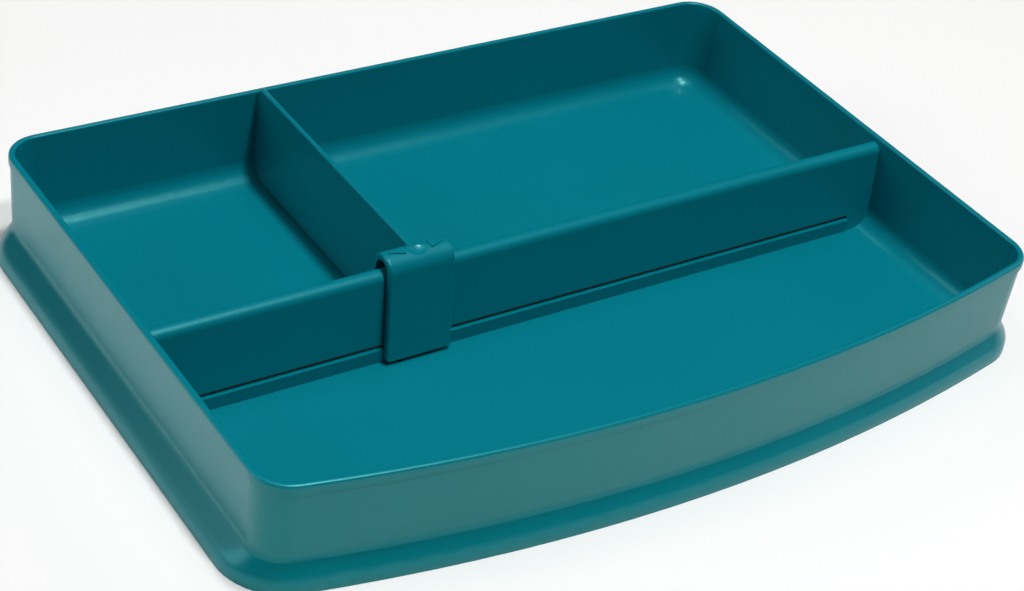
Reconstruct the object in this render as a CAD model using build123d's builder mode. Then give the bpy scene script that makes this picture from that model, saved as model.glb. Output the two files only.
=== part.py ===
"""Shallow desk tray with a moulded-in cross wall and a divider that slides along it.

Origin: middle of the tray's outline, on the surface that the tray stands on.
+X runs along the long side to the right, +Y to the straight back edge, +Z up.
"""
import os
from math import cos, radians, sin, sqrt, tan

from build123d import *

# Tray outline, measured over the rim
rim_width = 246.0
rim_depth = 174.5
front_bow = 14.4
corner_radius = 10.5
tray_height = 32.5

# Mouldings: one nominal wall, drafted so that it leaves the mould
wall = 1.9
wall_draft = 1.4
rim_band_height = 2.8
rim_band_step = 0.45
rim_outer_round = 0.9
rim_inner_round = 0.6

# Foot skirt, which flares out below the walls and stands on the desk
skirt_out_side = 4.6
skirt_out_end = 2.3
skirt_corner_radius = 18.0
skirt_height = 3.2
shoulder_height = 8.6
skirt_round = 6.0
shoulder_round = 3.0
groove_height = 5.0

# Floor
floor_top = 3.5
floor_fillet = 6.0

# Cross wall: a hollow ridge across the tray, with a guide slit low in its front
ridge_y = -4.9
ridge_drop = 1.9
ridge_radius = 2.5
ridge_draft = 5.5
ridge_core_radius = 0.7
slit_length = 224.0
slit_height = 1.2
slit_above_floor = 4.1
ledge_proud = 0.8

# Sliding divider: a clip that saddles the ridge and a plate that reaches the back wall
divider_x = -42.6
clip_width = 20.4
clip_wall = 1.75
clip_inner_radius = 2.95
clip_draft = 6.5
crown_lift = 2.5
clip_edge_round = 0.8
leg_floor_gap = 1.3
tooth_clearance = 0.2
tooth_reach = 1.0
tooth_inset = 1.5
plate_top_thickness = 1.5
plate_top_flat = 0.2
plate_draft = 1.3
plate_above_rim = 2.0
plate_wall_gap = 1.0
plate_floor_gap = 1.2
plate_corner_round = 6.5
plate_top_corner_round = 1.2

# Thumb marks on the crown: a dimple, tilted to the front, between two flat-topped arrows
dimple_tilt = 10.0
dimple_radius = 2.8
dimple_depth = 0.7
arrow_length = 4.5
arrow_width = 3.0
arrow_height = 0.3
arrow_depth = 0.9
arrow_base_offset = 4.1

# Derived places
rim_half_width = rim_width / 2
rim_back = rim_depth / 2
rim_front = -rim_depth / 2
bow_radius = (rim_half_width**2 + front_bow**2) / (2 * front_bow)
bow_centre_y = rim_front + bow_radius
band_bottom = tray_height - rim_band_height
wall_top_out = -rim_band_step
wall_foot_out = wall_top_out - (band_bottom - shoulder_height) * tan(radians(wall_draft))
basin_top_out = -wall
basin_floor_out = basin_top_out - (tray_height - floor_top) * tan(radians(wall_draft))
floor_underside = floor_top - wall
ridge_top = tray_height - ridge_drop
ridge_centre_z = ridge_top - ridge_radius
slit_bottom = floor_top + slit_above_floor
slit_top = slit_bottom + slit_height
clip_centre_z = ridge_centre_z + crown_lift
clip_outer_radius = clip_inner_radius + clip_wall


def tray_outline(out_side: float, out_end: float, radius: float) -> Sketch:
    """Plan outline of the tray.

    Args:
        out_side: Distance that the short sides lie outside the rim, in mm.
        out_end: Distance that the straight back and the bowed front lie outside the rim, in mm.
        radius: Radius of the four corners, in mm.

    Returns:
        The outline as a filled sketch on the XY plane.
    """
    half_width = rim_half_width + out_side
    back = rim_back + out_end
    front_radius = bow_radius + out_end
    apex = bow_centre_y - front_radius
    front_corner = bow_centre_y - sqrt(front_radius**2 - half_width**2)
    with BuildSketch() as outline:
        with BuildLine():
            Line((half_width, front_corner), (half_width, back))
            Line((half_width, back), (-half_width, back))
            Line((-half_width, back), (-half_width, front_corner))
            ThreePointArc((-half_width, front_corner), (0, apex), (half_width, front_corner))
        make_face()
        fillet(outline.vertices(), radius)
    return outline.sketch


def wall_outline(out: float) -> Sketch:
    """Outline parallel to the rim, moved outwards by the same distance all round."""
    return tray_outline(out, out, corner_radius + out)


def flare_inner_outline(height: float) -> Sketch:
    """Outline of the flare's inner face at a height, one wall thickness inside its outer face."""
    share = (height - skirt_height) / (shoulder_height - skirt_height)
    offsets = []
    for skirt_out in (skirt_out_side, skirt_out_end):
        slope = (skirt_out - wall_foot_out) / (shoulder_height - skirt_height)
        face_out = skirt_out + (wall_foot_out - skirt_out) * share
        offsets.append(face_out - wall * sqrt(1 + slope**2))
    radius = skirt_corner_radius + (corner_radius + wall_foot_out - skirt_corner_radius) * share
    return tray_outline(offsets[0], offsets[1], radius - wall)


def arch_half_width(radius: float, centre_z: float, draft: float, height: float) -> float:
    """Half the width of an arch at a height below its centre, on faces tangent to its crest."""
    slant = radians(draft)
    return radius / cos(slant) + (centre_z - height) * tan(slant)


def arch_profile(radius: float, centre_z: float, draft: float, foot_z: float) -> Sketch:
    """Section across the ridge.

    Args:
        radius: Radius of the round crest, in mm.
        centre_z: Height of the crest's centre, in mm.
        draft: Slant of the two faces below the crest, in degrees.
        foot_z: Height that the two faces come down to, in mm.

    Returns:
        A filled sketch whose first axis is the tray's Y and whose second is Z.
    """
    foot_half = arch_half_width(radius, centre_z, draft, foot_z)
    tangent_y = radius * cos(radians(draft))
    tangent_z = centre_z + radius * sin(radians(draft))
    with BuildSketch() as profile:
        with BuildLine():
            Line((ridge_y - foot_half, foot_z), (ridge_y - tangent_y, tangent_z))
            ThreePointArc(
                (ridge_y - tangent_y, tangent_z),
                (ridge_y, centre_z + radius),
                (ridge_y + tangent_y, tangent_z),
            )
            Line((ridge_y + tangent_y, tangent_z), (ridge_y + foot_half, foot_z))
            Line((ridge_y + foot_half, foot_z), (ridge_y - foot_half, foot_z))
        make_face()
    return profile.sketch


# Solid that the tray is hollowed from: skirt, flare, drafted wall and rim band
with BuildPart() as outer_body:
    with BuildSketch(Plane.XY):
        add(tray_outline(skirt_out_side, skirt_out_end, skirt_corner_radius))
    extrude(amount=skirt_height)
    with BuildSketch(Plane.XY.offset(skirt_height)):
        add(tray_outline(skirt_out_side, skirt_out_end, skirt_corner_radius))
    with BuildSketch(Plane.XY.offset(shoulder_height)):
        add(wall_outline(wall_foot_out))
    loft(ruled=True)
    with BuildSketch(Plane.XY.offset(shoulder_height)):
        add(wall_outline(wall_foot_out))
    extrude(amount=band_bottom - shoulder_height, taper=-wall_draft)
    with BuildSketch(Plane.XY.offset(band_bottom)):
        add(wall_outline(0))
    extrude(amount=rim_band_height)
    skirt_edges = outer_body.edges().filter_by_position(Axis.Z, skirt_height, skirt_height)
    fillet(skirt_edges, skirt_round)
    shoulder_edges = outer_body.edges().filter_by_position(Axis.Z, shoulder_height, shoulder_height)
    fillet(shoulder_edges, shoulder_round)
    fillet(outer_body.faces().sort_by(Axis.Z)[-1].edges(), rim_outer_round)

# The basin that the tray holds things in, with its large floor fillet
with BuildPart() as basin:
    with BuildSketch(Plane.XY.offset(floor_top)):
        add(wall_outline(basin_floor_out))
    extrude(amount=tray_height - floor_top, taper=-wall_draft)
    fillet(basin.faces().sort_by(Axis.Z)[0].edges(), floor_fillet)

# The same basin one wall larger: what the hollow underside leaves standing
with BuildPart() as basin_shell:
    with BuildSketch(Plane.XY.offset(floor_underside)):
        add(wall_outline(basin_floor_out + wall))
    extrude(amount=tray_height - floor_underside, taper=-wall_draft)
    fillet(basin_shell.faces().sort_by(Axis.Z)[0].edges(), floor_fillet + wall)

# The hollow below the floor and inside the skirt
with BuildPart() as underside:
    with BuildSketch(Plane.XY):
        add(tray_outline(skirt_out_side - wall, skirt_out_end - wall, skirt_corner_radius - wall))
    extrude(amount=skirt_height)
    with BuildSketch(Plane.XY.offset(skirt_height)):
        add(flare_inner_outline(skirt_height))
    with BuildSketch(Plane.XY.offset(groove_height)):
        add(flare_inner_outline(groove_height))
    loft(ruled=True)
    add(basin_shell.part, mode=Mode.SUBTRACT)

# The tray, one moulding
ridge_reach = rim_half_width - wall / 2
core_reach = ridge_reach - 2 * wall
front_face_at_slit = ridge_y - arch_half_width(ridge_radius, ridge_centre_z, ridge_draft, slit_bottom)
ledge_front = front_face_at_slit - ledge_proud
with BuildPart() as tray:
    add(outer_body.part)
    add(basin.part, mode=Mode.SUBTRACT)
    fillet(tray.faces().sort_by(Axis.Z)[-1].inner_wires()[0].edges(), rim_inner_round)
    add(underside.part, mode=Mode.SUBTRACT)
    with BuildSketch(Plane.YZ):
        add(arch_profile(ridge_radius, ridge_centre_z, ridge_draft, floor_underside))
    extrude(amount=ridge_reach, both=True)
    with BuildSketch(Plane.XY.offset(floor_underside)):
        with Locations((0, ledge_front)):
            Rectangle(slit_length, ridge_y - ledge_front, align=(Align.CENTER, Align.MIN))
    extrude(amount=slit_bottom - floor_underside)
    # Hollow core of the ridge and its ledge, open below
    with BuildSketch(Plane.YZ):
        add(arch_profile(ridge_core_radius, ridge_centre_z, ridge_draft, 0))
    extrude(amount=core_reach, both=True, mode=Mode.SUBTRACT)
    with BuildSketch(Plane.XY):
        with Locations((0, ledge_front + wall)):
            Rectangle(
                slit_length - 2 * wall,
                ridge_y - ledge_front - wall,
                align=(Align.CENTER, Align.MIN),
            )
    extrude(amount=slit_bottom, mode=Mode.SUBTRACT)
    # Guide slit through the front skin
    with BuildSketch(Plane.XY.offset(slit_bottom)):
        with Locations((0, ledge_front)):
            Rectangle(slit_length, ridge_y - ledge_front, align=(Align.CENTER, Align.MIN))
    extrude(amount=slit_top - slit_bottom, mode=Mode.SUBTRACT)
tray.part.label = "tray"

# The divider's plate, thin at its top edge and drafted thicker towards its foot
plate_top = tray_height + plate_above_rim
plate_foot = floor_top + plate_floor_gap
plate_back_top = rim_back - wall - plate_wall_gap
plate_back_foot = plate_back_top - (plate_top - plate_foot) * tan(radians(wall_draft))
plate_foot_thickness = plate_top_thickness + 2 * (plate_top - plate_foot) * tan(radians(plate_draft))
with BuildPart() as plate:
    with BuildSketch(Plane.YZ.offset(divider_x)) as plate_side:
        with BuildLine():
            Polyline(
                (ridge_y, plate_top),
                (plate_back_top, plate_top),
                (plate_back_foot, plate_foot),
                (ridge_y, plate_foot),
                close=True,
            )
        make_face()
        fillet(plate_side.vertices().sort_by(Axis.X)[-1], plate_top_corner_round)
        fillet(plate_side.vertices().group_by(Axis.Y)[0].sort_by(Axis.X)[-1], plate_corner_round)
    extrude(amount=plate_foot_thickness, both=True)
    with BuildSketch(Plane.XZ):
        with BuildLine():
            Polyline(
                (divider_x - plate_foot_thickness / 2, plate_foot),
                (divider_x + plate_foot_thickness / 2, plate_foot),
                (divider_x + plate_top_thickness / 2, plate_top),
                (divider_x - plate_top_thickness / 2, plate_top),
                close=True,
            )
        make_face()
    extrude(amount=rim_depth, both=True, mode=Mode.INTERSECT)
    top_face = plate.faces().sort_by(Axis.Z)[-1]
    fillet(top_face.edges().filter_by(Axis.Y), (plate_top_thickness - plate_top_flat) / 2)

# Raised arrows, flat on top, one to each end of the crown
crown_top = clip_centre_z + clip_outer_radius
with BuildPart() as arrows:
    with BuildSketch(Plane.XY.offset(crown_top - arrow_depth)):
        for side in (-1, 1):
            base_x = divider_x + side * arrow_base_offset
            with BuildLine():
                Polyline(
                    (base_x, ridge_y - arrow_width / 2),
                    (base_x + side * arrow_length, ridge_y),
                    (base_x, ridge_y + arrow_width / 2),
                    close=True,
                )
            make_face()
    extrude(amount=arrow_depth + arrow_height)

# The sliding divider, one moulding
leg_foot = floor_top + leg_floor_gap
leg_inner_half = arch_half_width(clip_inner_radius, clip_centre_z, clip_draft, slit_bottom)
tooth_root = ridge_y - leg_inner_half - clip_wall / 2
tooth_tip = front_face_at_slit + tooth_reach
dimple_slant = radians(dimple_tilt)
dimple_sphere_radius = (dimple_radius**2 + dimple_depth**2) / (2 * dimple_depth)
dimple_centre_reach = clip_outer_radius + dimple_sphere_radius - dimple_depth
with BuildPart() as divider:
    with BuildSketch(Plane.YZ.offset(divider_x)):
        add(arch_profile(clip_outer_radius, clip_centre_z, clip_draft, leg_foot))
    extrude(amount=clip_width / 2, both=True)
    fillet(divider.faces().filter_by(Axis.X).edges(), clip_edge_round)
    add(plate.part)
    with BuildSketch(Plane.YZ.offset(divider_x)):
        add(arch_profile(clip_inner_radius, clip_centre_z, clip_draft, floor_underside))
    extrude(amount=clip_width, both=True, mode=Mode.SUBTRACT)
    # Tooth inside the front leg, which runs in the guide slit
    with BuildSketch(Plane.XY.offset(slit_bottom + tooth_clearance)):
        with Locations((divider_x, tooth_root)):
            Rectangle(
                clip_width - 2 * tooth_inset,
                tooth_tip - tooth_root,
                align=(Align.CENTER, Align.MIN),
            )
    extrude(amount=slit_height - 2 * tooth_clearance)
    # Thumb dimple in the crown, between the arrows
    dimple_y = ridge_y - dimple_centre_reach * sin(dimple_slant)
    dimple_z = clip_centre_z + dimple_centre_reach * cos(dimple_slant)
    with Locations((divider_x, dimple_y, dimple_z)):
        Sphere(dimple_sphere_radius, mode=Mode.SUBTRACT)
    add(arrows.part)
divider.part.label = "sliding_divider"

os.makedirs("parts", exist_ok=True)
export_step(tray.part, "parts/tray.step")
export_step(divider.part, "parts/sliding_divider.step")
for body in (tray, divider):
    box = body.part.bounding_box()
    print(body.part.label, len(body.part.solids()), round(body.part.volume), box.min, box.max)
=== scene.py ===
"""Desk tray with a sliding divider: its finish, the studio that lights it, and the camera."""
import logging
from dataclasses import dataclass, field
from enum import Enum
from math import pi

import bmesh
import bpy
from mathutils import Matrix, Vector

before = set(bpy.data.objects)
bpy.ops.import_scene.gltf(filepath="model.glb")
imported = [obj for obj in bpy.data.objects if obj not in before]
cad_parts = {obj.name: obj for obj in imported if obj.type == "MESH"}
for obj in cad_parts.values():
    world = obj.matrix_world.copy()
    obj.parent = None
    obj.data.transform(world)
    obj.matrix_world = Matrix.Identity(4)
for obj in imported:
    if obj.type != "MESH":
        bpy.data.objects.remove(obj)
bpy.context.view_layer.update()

MILLIMETRE = 0.001

# The sRGB curve: a straight foot below the knee, and a power above it.
SRGB_KNEE = 0.04045
SRGB_FOOT_SLOPE = 12.92
SRGB_OFFSET = 0.055
SRGB_POWER = 2.4

log = logging.getLogger("desk_tray")


class Piece(Enum):
    """The two mouldings of the desk tray, by the names of their nodes."""

    TRAY = "tray"
    SLIDING_DIVIDER = "sliding_divider"


class Lamp(Enum):
    """The lamps of the studio."""

    KEY = "key_soft_box"
    OVERHEAD = "overhead_panel"
    FRONT = "front_soft_box"
    RIGHT = "right_soft_box"
    LEFT = "left_soft_box"


def linear_colour(hex_colour: str) -> tuple[float, float, float, float]:
    """Turns an sRGB hex colour to the linear colour that shaders work in.

    Args:
        hex_colour: Six hex digits after a number sign.

    Returns:
        Red, green, blue and an alpha of 1, in linear light.
    """
    channels = []
    for place in (1, 3, 5):
        value = int(hex_colour[place : place + 2], 16) / 255
        if value <= SRGB_KNEE:
            channels.append(value / SRGB_FOOT_SLOPE)
        else:
            channels.append(((value + SRGB_OFFSET) / (1 + SRGB_OFFSET)) ** SRGB_POWER)
    return (*channels, 1.0)


def add_node(
    tree: bpy.types.NodeTree, kind: str, settings: dict, links: dict | None = None
) -> bpy.types.Node:
    """Adds one node to a tree.

    Args:
        tree: The node tree of a material or of the world.
        kind: The node's type name in Blender.
        settings: Values for the node's own properties or its input sockets, by name or number.
        links: Output sockets of earlier nodes, by the name or number of the input that takes them.

    Returns:
        The new node.
    """
    node = tree.nodes.new(kind)
    for name, value in settings.items():
        if isinstance(name, str) and hasattr(node, name):
            setattr(node, name, value)
        else:
            node.inputs[name].default_value = value
    for name, socket in (links or {}).items():
        tree.links.new(socket, node.inputs[name])
    return node


def empty_material(name: str) -> tuple[bpy.types.Material, bpy.types.NodeTree]:
    """Makes a material whose tree has no nodes yet.

    Args:
        name: The name of the material.

    Returns:
        The material and its node tree.
    """
    material = bpy.data.materials.new(name)
    material.use_nodes = True
    tree = material.node_tree
    tree.nodes.clear()
    return material, tree


@dataclass(frozen=True)
class SatinPolystyrene:
    """Teal polystyrene, injection moulded against spark-eroded steel.

    To the eye it is a clear teal with a soft, even sheen. A fine grain breaks each highlight up,
    the sheen drifts a little from patch to patch, and the colour clouds where the melt flowed.
    The teal is stronger than sRGB holds, and the tint of the gloss keeps it from looking grey.
    """

    colour: str = "#008090"
    flow_colour: str = "#007B8A"
    flow_mm: float = 55.0
    flow_detail: float = 2.0
    flow_distortion: float = 0.6
    roughness_low: float = 0.27
    roughness_high: float = 0.33
    patch_mm: float = 14.0
    patch_detail: float = 3.0
    # The steel's real grain is below 0.1 mm. It is drawn this coarse so that it shows.
    grain_mm: float = 0.55
    grain_detail: float = 2.0
    grain_depth_mm: float = 0.010
    ior: float = 1.59
    gloss_tint: str = "#96FFFF"

    def material(self) -> bpy.types.Material:
        """Builds the finish as a node material on Object coordinates.

        Returns:
            The material.
        """
        material, tree = empty_material("satin_moulded_polystyrene")
        place = add_node(tree, "ShaderNodeTexCoord", {}).outputs["Object"]
        flow = add_node(
            tree,
            "ShaderNodeTexNoise",
            {
                "Scale": 1 / (self.flow_mm * MILLIMETRE),
                "Detail": self.flow_detail,
                "Distortion": self.flow_distortion,
            },
            {"Vector": place},
        )
        colour = add_node(
            tree,
            "ShaderNodeMix",
            {"data_type": "RGBA", 6: linear_colour(self.colour), 7: linear_colour(self.flow_colour)},
            {0: flow.outputs["Fac"]},
        )
        patches = add_node(
            tree,
            "ShaderNodeTexNoise",
            {"Scale": 1 / (self.patch_mm * MILLIMETRE), "Detail": self.patch_detail},
            {"Vector": place},
        )
        sheen = add_node(
            tree,
            "ShaderNodeMapRange",
            {"To Min": self.roughness_low, "To Max": self.roughness_high},
            {"Value": patches.outputs["Fac"]},
        )
        grain = add_node(
            tree,
            "ShaderNodeTexNoise",
            {"Scale": 1 / (self.grain_mm * MILLIMETRE), "Detail": self.grain_detail},
            {"Vector": place},
        )
        bump = add_node(
            tree,
            "ShaderNodeBump",
            {"Strength": 1.0, "Distance": self.grain_depth_mm * MILLIMETRE},
            {"Height": grain.outputs["Fac"]},
        )
        surface = add_node(
            tree,
            "ShaderNodeBsdfPrincipled",
            {"IOR": self.ior, "Specular Tint": linear_colour(self.gloss_tint)},
            {
                "Base Color": colour.outputs[2],
                "Roughness": sheen.outputs["Result"],
                "Normal": bump.outputs["Normal"],
            },
        )
        add_node(tree, "ShaderNodeOutputMaterial", {}, {"Surface": surface.outputs["BSDF"]})
        return material


@dataclass(frozen=True)
class PaintedBoard:
    """Board rolled with matt paint, which the tray stands on.

    To the eye, and in the gloss of the plastic, it is a plain white ground with the tray's shadow
    on it. The light that it throws up at the walls is a warm cream.
    """

    seen_colour: str = "#FCFCFB"
    seen_roller_colour: str = "#F9F9F8"
    seen_lift: str = "#454545"
    cast_colour: str = "#FDF3DC"
    roller_mm: float = 90.0
    roughness: float = 0.85

    def material(self) -> bpy.types.Material:
        """Builds the finish as a node material on Object coordinates.

        Returns:
            The material.
        """
        material, tree = empty_material("matt_cream_board")
        place = add_node(tree, "ShaderNodeTexCoord", {}).outputs["Object"]
        roller = add_node(
            tree,
            "ShaderNodeTexNoise",
            {"Scale": 1 / (self.roller_mm * MILLIMETRE)},
            {"Vector": place},
        )
        seen = add_node(
            tree,
            "ShaderNodeMix",
            {
                "data_type": "RGBA",
                6: linear_colour(self.seen_colour),
                7: linear_colour(self.seen_roller_colour),
            },
            {0: roller.outputs["Fac"]},
        )
        # 1 where the board is looked at, straight, in a gloss or through something clear.
        path = add_node(tree, "ShaderNodeLightPath", {})
        straight_or_gloss = add_node(
            tree,
            "ShaderNodeMath",
            {"operation": "MAXIMUM"},
            {0: path.outputs["Is Camera Ray"], 1: path.outputs["Is Glossy Ray"]},
        )
        looked_at = add_node(
            tree,
            "ShaderNodeMath",
            {"operation": "MAXIMUM"},
            {0: straight_or_gloss.outputs[0], 1: path.outputs["Is Transmission Ray"]},
        )
        colour = add_node(
            tree,
            "ShaderNodeMix",
            {"data_type": "RGBA", 6: linear_colour(self.cast_colour)},
            {0: looked_at.outputs[0], 7: seen.outputs[2]},
        )
        surface = add_node(
            tree,
            "ShaderNodeBsdfPrincipled",
            {
                "Roughness": self.roughness,
                "Specular IOR Level": 0.0,
                "Emission Color": linear_colour(self.seen_lift),
            },
            {"Base Color": colour.outputs[2], "Emission Strength": looked_at.outputs[0]},
        )
        add_node(tree, "ShaderNodeOutputMaterial", {}, {"Surface": surface.outputs["BSDF"]})
        return material


@dataclass(frozen=True)
class Moulding:
    """One moulding of the desk tray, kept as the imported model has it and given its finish."""

    piece: Piece
    finish: bpy.types.Material

    def dress(self) -> None:
        """Puts the finish on every slot of the moulding's node."""
        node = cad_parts[self.piece.value]
        for place in range(len(node.data.materials)):
            node.data.materials[place] = self.finish
        log.info("%s: %d faces, %s", self.piece.value, len(node.data.polygons), self.finish.name)


@dataclass(frozen=True)
class SoftBox:
    """An oblong area lamp that looks at the middle of the tray, its length along the tray's depth.

    Its direction is the way to it from the tray. Its width, length and distance are in metres,
    and its brightness is that of its cloth, where 1 is white.
    """

    lamp: Lamp
    direction: tuple[float, float, float]
    width: float
    length: float
    brightness: float
    distance: float = 1.5

    def hang(self) -> None:
        """Hangs the soft box in its place."""
        data = bpy.data.lights.new(self.lamp.value, "AREA")
        data.shape = "RECTANGLE"
        data.size = self.width
        data.size_y = self.length
        data.energy = self.brightness * pi * self.width * self.length
        box = bpy.data.objects.new(self.lamp.value, data)
        towards = Vector(self.direction).normalized()
        across = Vector((0.0, 1.0, 0.0)).cross(towards).normalized()
        turn = Matrix((across, towards.cross(across), towards)).transposed().to_4x4()
        box.matrix_world = Matrix.Translation(towards * self.distance) @ turn
        bpy.context.scene.collection.objects.link(box)


@dataclass
class Studio:
    """The pale ground, the soft boxes and the dim room round them, in metres."""

    ground_width: float = 6.0
    room_colour: str = "#FFFFFF"
    room_brightness: float = 0.02
    soft_boxes: list[SoftBox] = field(
        default_factory=lambda: [
            SoftBox(Lamp.KEY, (0.08, -0.06, 0.99), 0.14, 0.14, 142.0),
            SoftBox(Lamp.OVERHEAD, (-0.03, 0.00, 1.00), 1.30, 1.30, 0.95),
            SoftBox(Lamp.FRONT, (0.08, -0.40, 0.90), 0.14, 0.14, 110.0),
            SoftBox(Lamp.RIGHT, (0.85, 0.00, 0.50), 0.70, 0.70, 0.9),
            SoftBox(Lamp.LEFT, (-0.85, 0.38, 0.36), 0.80, 0.80, 2.2),
        ]
    )

    def lay_ground(self, board: bpy.types.Material) -> None:
        """Lays the ground that the tray stands on.

        Args:
            board: The finish of the ground.
        """
        mesh = bpy.data.meshes.new("ground")
        shape = bmesh.new()
        bmesh.ops.create_grid(shape, x_segments=1, y_segments=1, size=self.ground_width / 2)
        shape.to_mesh(mesh)
        shape.free()
        mesh.materials.append(board)
        ground = bpy.data.objects.new("ground", mesh)
        bpy.context.scene.collection.objects.link(ground)
        log.info("ground: %.1f m wide, %s", self.ground_width, board.name)

    def light_room(self) -> None:
        """Sets the dim light that comes from the room round the soft boxes."""
        world = bpy.data.worlds.new("studio_room")
        world.use_nodes = True
        world.node_tree.nodes.clear()
        room = add_node(
            world.node_tree,
            "ShaderNodeBackground",
            {"Color": linear_colour(self.room_colour), "Strength": self.room_brightness},
        )
        add_node(world.node_tree, "ShaderNodeOutputWorld", {}, {"Surface": room.outputs[0]})
        bpy.context.scene.world = world
        bpy.context.scene.view_settings.view_transform = "Standard"

    def build(self, board: bpy.types.Material) -> None:
        """Lays the ground, hangs the soft boxes and lights the room.

        Args:
            board: The finish of the ground.
        """
        self.lay_ground(board)
        for soft_box in self.soft_boxes:
            soft_box.hang()
        self.light_room()


@dataclass(frozen=True)
class PhotographCamera:
    """The camera at the photograph's viewing angle, from which the tray's edges fall in place."""

    place_mm: tuple[float, float, float] = (-321.63, -409.93, 374.18)
    right: tuple[float, float, float] = (0.83604, -0.53416, 0.12532)
    up: tuple[float, float, float] = (0.22909, 0.54740, 0.80491)
    lens: float = 78.67
    sensor_width: float = 36.0

    def place(self) -> None:
        """Makes the camera and hands it to the scene."""
        data = bpy.data.cameras.new("photograph_camera")
        data.lens = self.lens
        data.sensor_fit = "HORIZONTAL"
        data.sensor_width = self.sensor_width
        camera = bpy.data.objects.new("photograph_camera", data)
        right, up = Vector(self.right), Vector(self.up)
        turn = Matrix((right, up, right.cross(up))).transposed().to_4x4()
        camera.matrix_world = Matrix.Translation(Vector(self.place_mm) * MILLIMETRE) @ turn
        bpy.context.scene.collection.objects.link(camera)
        bpy.context.scene.camera = camera


def main() -> None:
    """Dresses each moulding, builds the studio and places the camera."""
    logging.basicConfig(level=logging.INFO, format="%(name)s: %(message)s")
    polystyrene = SatinPolystyrene().material()
    for piece in Piece:
        Moulding(piece, polystyrene).dress()
    Studio().build(PaintedBoard().material())
    PhotographCamera().place()


if __name__ == "__main__":
    main()
